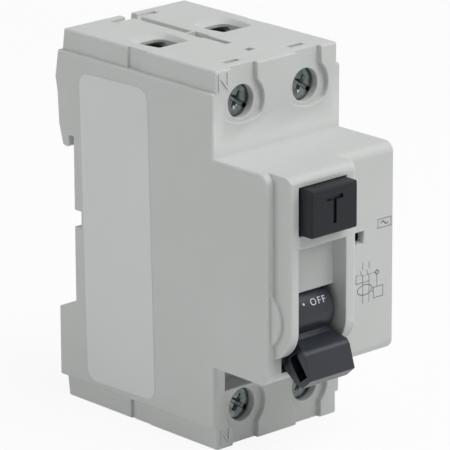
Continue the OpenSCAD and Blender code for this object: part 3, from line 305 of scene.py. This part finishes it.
def engrave(mesh, face, outline, depth):
    """Sinks an outline, points in metres on a flat face, into that face."""
    rim = list(face.edges)
    inward = face.normal * -depth * MM
    bmesh.ops.delete(mesh, geom=[face], context="FACES_ONLY")
    corners = [mesh.verts.new(p) for p in outline]
    line = [mesh.edges.new(pair) for pair in zip(corners, corners[1:] + corners[:1])]
    bmesh.ops.triangle_fill(mesh, edges=rim + line, use_beauty=True)
    walls = bmesh.ops.extrude_edge_only(mesh, edges=line)["geom"]
    bottom = [v for v in walls if isinstance(v, bmesh.types.BMVert)]
    bmesh.ops.translate(mesh, verts=bottom, vec=inward)
    bmesh.ops.contextual_create(mesh, geom=[e for e in walls if isinstance(e, bmesh.types.BMEdge)])
    bmesh.ops.recalc_face_normals(mesh, faces=mesh.faces)


def front_face(mesh):
    """The foremost flat face of a mesh."""
    return min((f for f in mesh.faces if f.normal.y < -SQUARE), key=lambda f: f.calc_center_median().y)


# The cable entries reach this much further back than in the solids, as in the photograph
ENTRY_BACK = 1.25
MOUTH_HALF, MOUTH_Z, MOUTH_FRONT_Y, MOUTH_BACK_Y = 5, 38.1, BLOCK_SEAM_Y + 0.03, -12.5
base = solid_copy("rear_base")
mouths = [v for v in base.verts if abs(abs(v.co.x) / MM - ENTRY_X) < MOUTH_HALF
    and abs(v.co.z) / MM > MOUTH_Z and MOUTH_FRONT_Y < v.co.y / MM < MOUTH_BACK_Y]
bmesh.ops.translate(base, verts=mouths, vec=(0, ENTRY_BACK * MM, 0))
cover = solid_copy("front_cover")
# The groove between the poles is wider than in the solids, and it and the slots beside it are deeper
GROOVE_HALF, GROOVE_Z, GROOVE_FRONT_Y, GROOVE_WIDER = 0.9, 39.7, -30, 1.5
CUT_FLOOR, CUT_DEEPER = 39.8, 0.9
for half in (base, cover):
    groove = [v for v in half.verts if abs(v.co.x) / MM < GROOVE_HALF and abs(v.co.z) / MM > GROOVE_Z
        and GROOVE_FRONT_Y < v.co.y / MM < 0]
    bmesh.ops.scale(half, verts=groove, vec=(GROOVE_WIDER, 1, 1))
    for vert in half.verts:
        if abs(abs(vert.co.z) / MM - CUT_FLOOR) < SAME_PLACE:
            vert.co.z -= math.copysign(CUT_DEEPER * MM, vert.co.z)
# The trip window is lower than in the solid, and its sill rises inward
FLAG_X, FLAG_HALF, WINDOW_TOP, TOP_LOWER, SILL, SILL_RISE = 8.2, 1.2, 5.5, 0.5, 2.3, 0.35
WINDOW_WALL, SILL_FRONT = 1.9, 0.1
for vert in cover.verts:
    place = vert.co / MM
    if abs(abs(place.x - FLAG_X) - FLAG_HALF) < SAME_PLACE and place.y < NOSE_Y + WINDOW_WALL:
        if abs(place.z - WINDOW_TOP) < SAME_PLACE:
            vert.co.z -= TOP_LOWER * MM
        if abs(place.z - SILL) < SAME_PLACE and place.y > NOSE_Y + SILL_FRONT:
            vert.co.z += SILL_RISE * MM
moulded(base, "rear_base", casing_corner)
moulded(cover, "front_cover", casing_corner)
moulded(solid_copy("din_clip"), "din_clip", lambda edge: CLIP_CORNER)
# The trip lever's tip is lower than in the solid, to clear the flag's tab when it is up
TIP_Y, TIP_TOP, TIP_LOWER = -55.3, -0.8, 0.25
lever = solid_copy("trip_lever")
for vert in lever.verts:
    if abs(vert.co.y / MM - TIP_Y) < SAME_PLACE and abs(vert.co.z / MM - TIP_TOP) < SAME_PLACE:
        vert.co.z -= TIP_LOWER * MM
moulded(lever, "trip_lever", lambda edge: LEVER_CORNER)

# Toggle with the facets that the photograph shows on its grip. Each line is a corner of the solid's
# section, in y and z from the pivot, the place it goes to, and the half width there.
GRIP_MOVES = (
    ((-4.59, -3.78), (-4.43, -3.90), 4.90),
    ((-6.29, -4.31), (-5.12, -4.45), 5.21),
    ((-7.96, -6.21), (-8.10, -5.65), 6.35),
    ((-9.24, -6.82), (-8.90, -6.57), 6.35),
    ((-10.29, -12.01), (-10.45, -11.60), 6.35),
    ((-5.23, -5.56), (-6.03, -6.58), 6.02),
    ((-3.18, -7.16), (-3.98, -8.18), 6.02),
)
SLOT_FLOOR, GRIP_CORNER, GRIP_SHARPEST = 1.5, 0.2, math.radians(18)
toggle = solid_copy("toggle")
pivot = Vector((TOGGLE_X, TOGGLE_Y, TOGGLE_Z))
for vert in toggle.verts:
    place = vert.co / MM - pivot
    for old, new, half in GRIP_MOVES:
        if math.hypot(place.y - old[0], place.z - old[1]) < SAME_PLACE:
            wide = place.x if abs(place.x) < SLOT_FLOOR else math.copysign(half, place.x)
            vert.co = (pivot + Vector((wide, new[0], new[1]))) * MM
moulded(toggle, "toggle", lambda edge: GRIP_CORNER, GRIP_SHARPEST)

# Shield behind the toggle's window, under the barrel: it closes the casing when the grip is up. Its dark
# toggle plastic is painted shade, standing in for the shadow inside the window
SHIELD_LOW, SHIELD_HIGH = Vector((-14.4, -57.6, -21.2)), Vector((0.2, -56.8, -14.35))
SHIELD_CORNER = 0.2
shield = bmesh.new()
bmesh.ops.create_cube(shield, size=1)
bmesh.ops.scale(shield, verts=shield.verts, vec=(SHIELD_HIGH - SHIELD_LOW) * MM)
bmesh.ops.translate(shield, verts=shield.verts, vec=(SHIELD_LOW + SHIELD_HIGH) / 2 * MM)
soften(shield, shield.edges[:], SHIELD_CORNER * MM, 2)
keep(shield, "window_shield_painted_shade", "toggle", "housing")


# Soft rims of the cable entries: each rolls off the end face and stops at the throat's crisp edge.
# A chain is half of its outline in plan, from the front to the middle of the back.
RIM_OUTER = [(4.06, -22), (4.94, -17.95)], (2.0, -15.8 + ENTRY_BACK), 2.94
RIM_INNER = [(3.68, -22), (3.68, -18.5)], (1.5, -17.0 + ENTRY_BACK), 2.18
RIM_ROLL = ((0, 0), (0.12, 0.03), (0.3, 0.15), (0.55, 0.43), (0.8, 0.76), (1, 1.05))
RIM_THICK, RIM_PROUD, RIM_BENDS = 0.05, 0.01, 10


def rim_chain(straight, centre, radius):
    """A rim's whole outline, in millimetres from the pole's middle."""
    bend = [math.radians(90 * i / RIM_BENDS) for i in range(RIM_BENDS + 1)]
    half = straight + [(centre[0] + radius * math.cos(t), centre[1] + radius * math.sin(t)) for t in bend]
    return half + [(-x, y) for x, y in reversed(half)]


def entry_rim(mesh, pole, end):
    """Adds the soft rim of one cable entry to a mesh, in millimetres."""
    rows, sheet = [], []
    across = list(zip(rim_chain(*RIM_OUTER), rim_chain(*RIM_INNER)))
    for share, drop in RIM_ROLL:
        row = [mesh.verts.new((pole * ENTRY_X + a[0] + (b[0] - a[0]) * share, a[1] + (b[1] - a[1]) * share,
            end * (BLOCK_Z + RIM_PROUD - drop))) for a, b in across]
        rows.append([mesh.edges.new(pair) for pair in zip(row, row[1:])])
    for upper, lower in zip(rows, rows[1:]):
        sheet += bmesh.ops.bridge_loops(mesh, edges=upper + lower)["faces"]
    under = bmesh.ops.extrude_face_region(mesh, geom=sheet, use_keep_orig=True)["geom"]
    bmesh.ops.translate(mesh, verts=[v for v in under if isinstance(v, bmesh.types.BMVert)],
        vec=(0, 0, -end * RIM_THICK))


rims = bmesh.new()
for pole in (-1, 1):
    for end in (-1, 1):
        entry_rim(rims, pole, end)
bmesh.ops.recalc_face_normals(rims, faces=rims.faces)
to_metres(rims)
for face in rims.faces:
    face.smooth = True
for edge in rims.edges:
    edge.smooth = edge.calc_face_angle() < SHARPEST_SMOOTH
keep(rims, "cable_entry_rims", "casing", "housing")

# Side label, stuck on a little askew
LABEL_Y, LABEL_Z, LABEL_WIDE, LABEL_HIGH = -13.76, -0.9, 21.45, 67.6
LABEL_ROUND, LABEL_THICK, LABEL_ASKEW = 2.8, 0.12, math.radians(1.3)
film = bmesh.new()
bmesh.ops.create_cube(film, size=1)
bmesh.ops.scale(film, verts=film.verts, vec=(LABEL_THICK, LABEL_WIDE, LABEL_HIGH))
corners = [e for e in film.edges if abs(e.verts[0].co.x - e.verts[1].co.x) > LABEL_THICK / 2]
soften(film, corners, LABEL_ROUND, 8)
soften(film, [e for e in film.edges if all(v.co.x < 0 for v in e.verts)], LABEL_THICK / 3, 2)
bmesh.ops.rotate(film, verts=film.verts, matrix=Matrix.Rotation(-LABEL_ASKEW, 3, "X"))
bmesh.ops.translate(film, verts=film.verts, vec=(-PLATE_X - LABEL_THICK / 2, LABEL_Y, LABEL_Z))
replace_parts(keep(to_metres(film), "side_label_film", "label", "housing"), "side_label")

# Test button with a sunk T, the common sign for test
BUTTON_CORNER, BUTTON_FACE = 0.45, 0.1
T_TOP, T_FOOT, T_ARM, T_STROKE, T_DEPTH = 18.2, 12.3, 2.25, 0.9, 0.5
button = solid_copy("test_button")
button_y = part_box("test_button")[0].y
half, bar_low = T_STROKE / 2, T_TOP - T_STROKE
T_OUTLINE = [(-T_ARM, T_TOP), (T_ARM, T_TOP), (T_ARM, bar_low), (half, bar_low), (half, T_FOOT),
    (-half, T_FOOT), (-half, bar_low), (-T_ARM, bar_low)]
engrave(button, front_face(button), [((TOGGLE_X + x) * MM, button_y, z * MM) for x, z in T_OUTLINE], T_DEPTH)


def button_corner(edge):
    """Radius of an edge of the test button: none along the sunk T."""
    in_sign = any(abs(v.co.x / MM - TOGGLE_X) < T_ARM + SAME_PLACE and v.co.y < button_y + BUTTON_FACE * MM
        for v in edge.verts)
    return 0 if in_sign else BUTTON_CORNER


moulded(button, "test_button", button_corner)


# Terminal screws: the solid's head with soft rims, and a rolled thread on the shank
HEAD_LENGTH, THREAD_PITCH, THREAD_DEPTH = 3.2, 1.0, 0.5
HEAD_CORNER, HEAD_FACE = 0.16, 0.3
# The cross is this deep in the solid; here it narrows to its bottom and is shallower
DRIVE_DEEP, DRIVE_TAPER, DRIVE_LIFT = 1.8, 0.4, 0.7


def terminal_screw(node):
    """One terminal screw with its thread. It stands for the plain solid."""
    low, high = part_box(node)
    axis = Matrix.Translation(-Vector(((low.x + high.x) / 2, 0, (low.z + high.z) / 2)))
    mesh = solid_copy(node)
    drive = [v for v in mesh.verts if abs((v.co.y - low.y) / MM - DRIVE_DEEP) < SAME_PLACE]
    bmesh.ops.scale(mesh, verts=drive, vec=(DRIVE_TAPER, 1, DRIVE_TAPER), space=axis)
    bmesh.ops.translate(mesh, verts=drive, vec=(0, -DRIVE_LIFT * MM, 0))
    start = low.y / MM + HEAD_LENGTH + THREAD_PITCH / 2
    turns = int((high.y / MM - start) / THREAD_PITCH * 2)
    for turn in range(turns):
        place = (start + turn * THREAD_PITCH / 2) * MM
        cut_across(mesh, place)
        if turn % 2:
            ring = [v for v in mesh.verts if abs(v.co.y - place) < 1e-6]
            root = 1 - THREAD_DEPTH * MM * 2 / (high.x - low.x)
            bmesh.ops.scale(mesh, verts=ring, vec=(root, 1, root), space=axis)
    face_end = low.y + HEAD_FACE * MM
    return moulded(mesh, node, lambda edge: HEAD_CORNER if all(v.co.y < face_end for v in edge.verts) else 0)


for pole in ("left", "right"):
    for end in ("upper", "lower"):
        terminal_screw("terminal_screw_" + end + "_" + pole)


# Coil springs that are pressed together
WIRE_SIDES, TURN_STEPS = 10, 24


def coil_spring(node, foot, run, radius, wire, turns):
    """A coil of round wire from its fixed end, foot, along run, in millimetres. It stands for the solid."""
    foot, run = Vector(foot), Vector(run)
    steps = turns * TURN_STEPS
    mesh = bmesh.new()
    bmesh.ops.create_circle(mesh, radius=wire, segments=WIRE_SIDES)
    bmesh.ops.rotate(mesh, verts=mesh.verts, matrix=Matrix.Rotation(math.pi / 2, 3, "X"))
    bmesh.ops.translate(mesh, verts=mesh.verts, vec=(radius, 0, wire))
    bmesh.ops.spin(mesh, geom=mesh.verts[:] + mesh.edges[:], cent=(0, 0, 0), axis=(0, 0, 1),
        angle=turns * math.tau, dvec=(0, 0, (run.length - 2 * wire) / steps), steps=steps)
    bmesh.ops.remove_doubles(mesh, verts=mesh.verts, dist=1e-5)
    bmesh.ops.holes_fill(mesh, edges=mesh.edges)
    bmesh.ops.recalc_face_normals(mesh, faces=mesh.faces)
    stand = Vector((0, 0, 1)).rotation_difference(run).to_matrix().to_4x4()
    bmesh.ops.transform(mesh, verts=mesh.verts, matrix=Matrix.Scale(MM, 4) @ Matrix.Translation(foot) @ stand)
    for face in mesh.faces:
        face.smooth = len(face.verts) == 4
    piece = keep(mesh, node + "_coil", slot_of[node], body_of[node])
    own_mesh(piece)
    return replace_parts(piece, node)


clip_low, clip_high = (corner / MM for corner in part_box("din_clip_spring"))
coil_spring("din_clip_spring",
    foot=((clip_low.x + clip_high.x) / 2, (clip_low.y + clip_high.y) / 2, clip_low.z),
    run=(0, 0, clip_high.z - clip_low.z), radius=1.6, wire=0.25, turns=8)
press_low, press_high = (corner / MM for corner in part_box("test_button_spring"))
coil_spring("test_button_spring",
    foot=((press_low.x + press_high.x) / 2, press_high.y, (press_low.z + press_high.z) / 2),
    run=(0, press_low.y - press_high.y, 0), radius=2.4, wire=0.25, turns=5)


# Letters and printed lines. The ink has a thickness, and is cut into strips to bend it.
INK, BEND_CUTS, BEND_STEP = 0.03, 6, 0.15


def letters(text, height, thick, spacing=1.0, narrow=1.0):
    """Flat letters in millimetres: middle at the origin, reading along +X, face up at +Z, foot at zero.
    narrow is the share of the letters' usual width."""
    data = bpy.data.curves.new(text, "FONT")
    data.body = text
    data.extrude = 0.5
    data.resolution_u = 4
    data.space_character = spacing
    holder = bpy.data.objects.new(text, data)
    bpy.context.scene.collection.objects.link(holder)
    bpy.context.view_layer.update()
    flat = bpy.data.meshes.new_from_object(holder.evaluated_get(bpy.context.evaluated_depsgraph_get()))
    mesh = bmesh.new()
    mesh.from_mesh(flat)
    bpy.data.objects.remove(holder)
    bpy.data.curves.remove(data)
    bpy.data.meshes.remove(flat)
    bmesh.ops.remove_doubles(mesh, verts=mesh.verts, dist=1e-5)
    low, high = (Vector(pick(v.co[i] for v in mesh.verts) for i in range(3)) for pick in (min, max))
    size = height / (high.y - low.y)
    bmesh.ops.translate(mesh, verts=mesh.verts, vec=-(low + high) / 2)
    bmesh.ops.scale(mesh, verts=mesh.verts, vec=(size * narrow, size, thick))
    bmesh.ops.translate(mesh, verts=mesh.verts, vec=(0, 0, thick / 2))
    return mesh


def wrap_on_barrel(mesh, x, angle):
    """Bends flat letters round the toggle's barrel. angle is in degrees above the barrel's front."""
    for cut in range(-BEND_CUTS, BEND_CUTS + 1):
        cut_across(mesh, cut * BEND_STEP)
    for vert in mesh.verts:
        turn = math.radians(angle) + vert.co.y / BARREL_R
        out = BARREL_R + vert.co.z - INK / 3
        vert.co = (x + vert.co.x, TOGGLE_Y - out * math.cos(turn), TOGGLE_Z + out * math.sin(turn))
        vert.co *= MM
    bmesh.ops.recalc_face_normals(mesh, faces=mesh.faces)
    return mesh


LETTER_H, LETTER_SPACING, LETTERS_X, DOT_X = 1.5, 1.25, -5.95, -9.9
OFF_ANGLE, ON_ANGLE = 30, -102
for text, angle in (("OFF", OFF_ANGLE), ("ON", ON_ANGLE)):
    word = wrap_on_barrel(letters(text, LETTER_H, INK, LETTER_SPACING), LETTERS_X, angle)
    keep(word, "toggle_" + text.lower() + "_print", "toggle", "toggle", white_ink)
dot = bmesh.new()
bmesh.ops.create_cone(dot, segments=24, radius1=0.29, radius2=0.27, depth=INK, cap_ends=True)
keep(wrap_on_barrel(dot, DOT_X, OFF_ANGLE), "toggle_dot_print", "toggle", "toggle", white_ink)


def on_front(mesh, x, y, z):
    """Stands flat letters up on a face that looks forward."""
    bmesh.ops.rotate(mesh, verts=mesh.verts, matrix=Matrix.Rotation(math.pi / 2, 3, "X"))
    bmesh.ops.translate(mesh, verts=mesh.verts, vec=(x, y, z))
    return to_metres(mesh)


# Raised letters for the neutral pole, in the casing's own plastic
RELIEF, NEUTRAL_X = 0.25, -14.9
for end, height, narrow, z in (("upper", 3.4, 0.88, 38.2), ("lower", 2.9, 0.9, -38.15)):
    mark = on_front(letters("N", height, RELIEF, narrow=narrow), NEUTRAL_X, TERMINAL_Y, z)
    keep(mark, "neutral_mark_" + end, "casing", "housing")

# Printed signs on the right of the nose, drawn in millimetres as (x, z)
LINE = 0.2


def stroke(mesh, start, end):
    """A straight printed line between two points of the nose's front."""
    run = Vector(end) - Vector(start)
    bar = bmesh.ops.create_cube(mesh, size=1)["verts"]
    bmesh.ops.scale(mesh, verts=bar, vec=(run.length + LINE, INK, LINE))
    bmesh.ops.rotate(mesh, verts=bar, matrix=Matrix.Rotation(-math.atan2(run.y, run.x), 3, "Y"))
    bmesh.ops.translate(mesh, verts=bar, vec=((start[0] + end[0]) / 2, NOSE_Y, (start[1] + end[1]) / 2))


def path(mesh, points, closed=False):
    """Printed lines from point to point."""
    for start, end in zip(points, points[1:] + (points[:1] if closed else [])):
        stroke(mesh, start, end)


def oval(x, z, wide, high, steps):
    """Points round an oval, from its middle and its half sizes."""
    turns = [math.tau * i / steps for i in range(steps + 1)]
    return [(x + wide * math.cos(t), z + high * math.sin(t)) for t in turns]


# Circuit sign: two open poles through a ring, with the tripping box beside them
POLES = (9.12, 10.95)
sign = bmesh.new()
for x in POLES:
    # Each pole: upper lead, open blade, lower lead through the ring
    path(sign, [(x, -1.9), (x, -3.3)])
    path(sign, [(x - 0.75, -3.5), (x, -5.1), (x, -10.5)])
path(sign, oval(9.7, -7.75, 2.1, 1.1, steps=20))
path(sign, [(12.2, -7.8), (14.95, -7.8), (14.95, -10.1), (12.2, -10.1)], closed=True)
path(sign, [(11.8, -8.6), (12.2, -8.6)])
path(sign, [(13.2, -5.1), (13.2, -7.8)])
for x in (8.9, 10.0, 11.1, 12.2):
    path(sign, [(x, -4.6), (x + 0.55, -4.6)])
path(sign, oval(13.2, -4.65, 0.42, 0.42, steps=12))
path(sign, [(10.95, -6.05), (7.2, -6.05), (7.2, -4.5), (7.7, -4.1)])
keep(to_metres(sign), "circuit_sign_print", "casing", "housing", grey_ink)

# Sign for alternating current: a wave in a box
WAVE_X, WAVE_Z, WAVE_LONG, WAVE_HIGH, WAVE_STEPS = 14.3, 5.68, 2, 0.34, 16
shares = [i / WAVE_STEPS for i in range(WAVE_STEPS + 1)]
wave = bmesh.new()
path(wave, [(13.4, 4.75), (17.2, 4.75), (17.2, 6.6), (13.4, 6.6)], closed=True)
path(wave, [(WAVE_X + WAVE_LONG * s, WAVE_Z + WAVE_HIGH * math.sin(s * math.tau)) for s in shares])
keep(to_metres(wave), "alternating_current_print", "casing", "housing", grey_ink)

# Camera at the photograph's viewing angle, on an image of 450 by 450
IMAGE = 450
FOCAL = 4252
AZIMUTH, ELEVATION, ROLL = (math.radians(a) for a in (-42.447, 17.615, -0.26))
STANDPOINT = Vector((-0.5733, -0.6543, 0.2707))
back = Vector((math.sin(AZIMUTH) * math.cos(ELEVATION), -math.cos(AZIMUTH) * math.cos(ELEVATION),
    math.sin(ELEVATION)))
right = Vector((math.cos(AZIMUTH), math.sin(AZIMUTH), 0))
up = back.cross(right)
right, up = (math.cos(ROLL) * right + math.sin(ROLL) * up, math.cos(ROLL) * up - math.sin(ROLL) * right)
lens = bpy.data.cameras.new("photo_camera")
lens.sensor_width = 36
lens.lens = FOCAL / IMAGE * lens.sensor_width
lens.clip_start = 0.01
lens.clip_end = 20
camera = bpy.data.objects.new("photo_camera", lens)
camera.matrix_world = Matrix.Translation(STANDPOINT) @ Matrix((right, up, back)).transposed().to_4x4()
bpy.context.scene.collection.objects.link(camera)
bpy.context.scene.camera = camera

# Plain pale floor just under the lower end: half its side in metres, and the gap in millimetres
FLOOR_HALF, FLOOR_GAP = 3, 0.2
ground = bmesh.new()
bmesh.ops.create_grid(ground, x_segments=8, y_segments=8, size=FLOOR_HALF)
bmesh.ops.translate(ground, verts=ground.verts, vec=(0, 0, cad_low.z - FLOOR_GAP * MM))
floor_data = bpy.data.meshes.new("floor")
ground.to_mesh(floor_data)
ground.free()
floor = bpy.data.objects.new("floor", floor_data)
bpy.context.scene.collection.objects.link(floor)


def seen_by_eye(tree):
    """A socket that is 1 for what the camera sees, straight or in metal or glass, and 0 for lighting."""
    ray = add(tree, "ShaderNodeLightPath")
    seen = add(tree, "ShaderNodeMath", {0: ray.outputs["Is Camera Ray"], 1: ray.outputs["Is Glossy Ray"]},
        operation="MAXIMUM")
    return add(tree, "ShaderNodeMath", {0: seen.outputs[0], 1: ray.outputs["Is Transmission Ray"]},
        operation="MAXIMUM").outputs[0]


# Pale studio paper: plain for the light it gives back, and nearly white to the eye, with the soft
# shadow kept
PAPER_WHITE = 0.9
paper = bpy.data.materials.new("studio_paper")
paper.use_nodes = True
tree = paper.node_tree
tree.nodes.clear()
part = add(tree, "ShaderNodeMath", {0: seen_by_eye(tree), 1: PAPER_WHITE}, operation="MULTIPLY")
matt = add(tree, "ShaderNodeBsdfDiffuse", {"Color": colour("#f0f0f0")})
white = add(tree, "ShaderNodeEmission", {"Color": (1, 1, 1, 1), "Strength": 1.0})
both = add(tree, "ShaderNodeMixShader", {0: part.outputs[0], 1: matt.outputs[0], 2: white.outputs[0]})
add(tree, "ShaderNodeOutputMaterial", {"Surface": both.outputs[0]})
floor_data.materials.append(paper)

# White background to the eye, darker towards the ceiling, and softer light on the object. The shade
# starts and ends at these heights of the look's direction.
SKY_LIGHT, CEILING = 0.15, 0.2
SHADE_START, SHADE_END = 0.35, 0.6
world = bpy.data.worlds.new("studio")
bpy.context.scene.world = world
world.use_nodes = True
tree = world.node_tree
tree.nodes.clear()
height = add(tree, "ShaderNodeSeparateXYZ", {0: add(tree, "ShaderNodeTexCoord").outputs["Generated"]})
backdrop = add(tree, "ShaderNodeMapRange", {"Value": height.outputs["Z"], "From Min": SHADE_START,
    "From Max": SHADE_END, "To Min": 1.0, "To Max": CEILING})
level = add(tree, "ShaderNodeMapRange", {"Value": seen_by_eye(tree), "To Min": SKY_LIGHT,
    "To Max": backdrop.outputs["Result"]})
sky = add(tree, "ShaderNodeBackground", {"Color": (1, 1, 1, 1), "Strength": level.outputs["Result"]})
add(tree, "ShaderNodeOutputWorld", {"Surface": sky.outputs[0]})


def lamp(name, place, size, power):
    """A square soft box that faces the object: its side in metres and its power in watts."""
    data = bpy.data.lights.new(name, "AREA")
    data.size = size
    data.energy = power
    made = bpy.data.objects.new(name, data)
    made.location = place
    made.rotation_euler = (Vector(place) * -1).to_track_quat("-Z", "Y").to_euler()
    bpy.context.scene.collection.objects.link(made)


lamp("key_soft_box", (0.2, -0.75, 0.95), 1.0, 8.9)
lamp("high_soft_box", (0.0, -0.25, 1.2), 0.9, 3.1)
lamp("left_soft_box", (-1.0, 0.5, 0.6), 0.9, 4.4)
lamp("right_soft_box", (1.1, 0.0, 0.3), 0.9, 2.5)
# A smaller one that the toggle's slanted facets mirror
lamp("facet_soft_box", (0.75, -0.45, 0.77), 0.45, 1.4)

bpy.context.scene.view_settings.view_transform = "Standard"
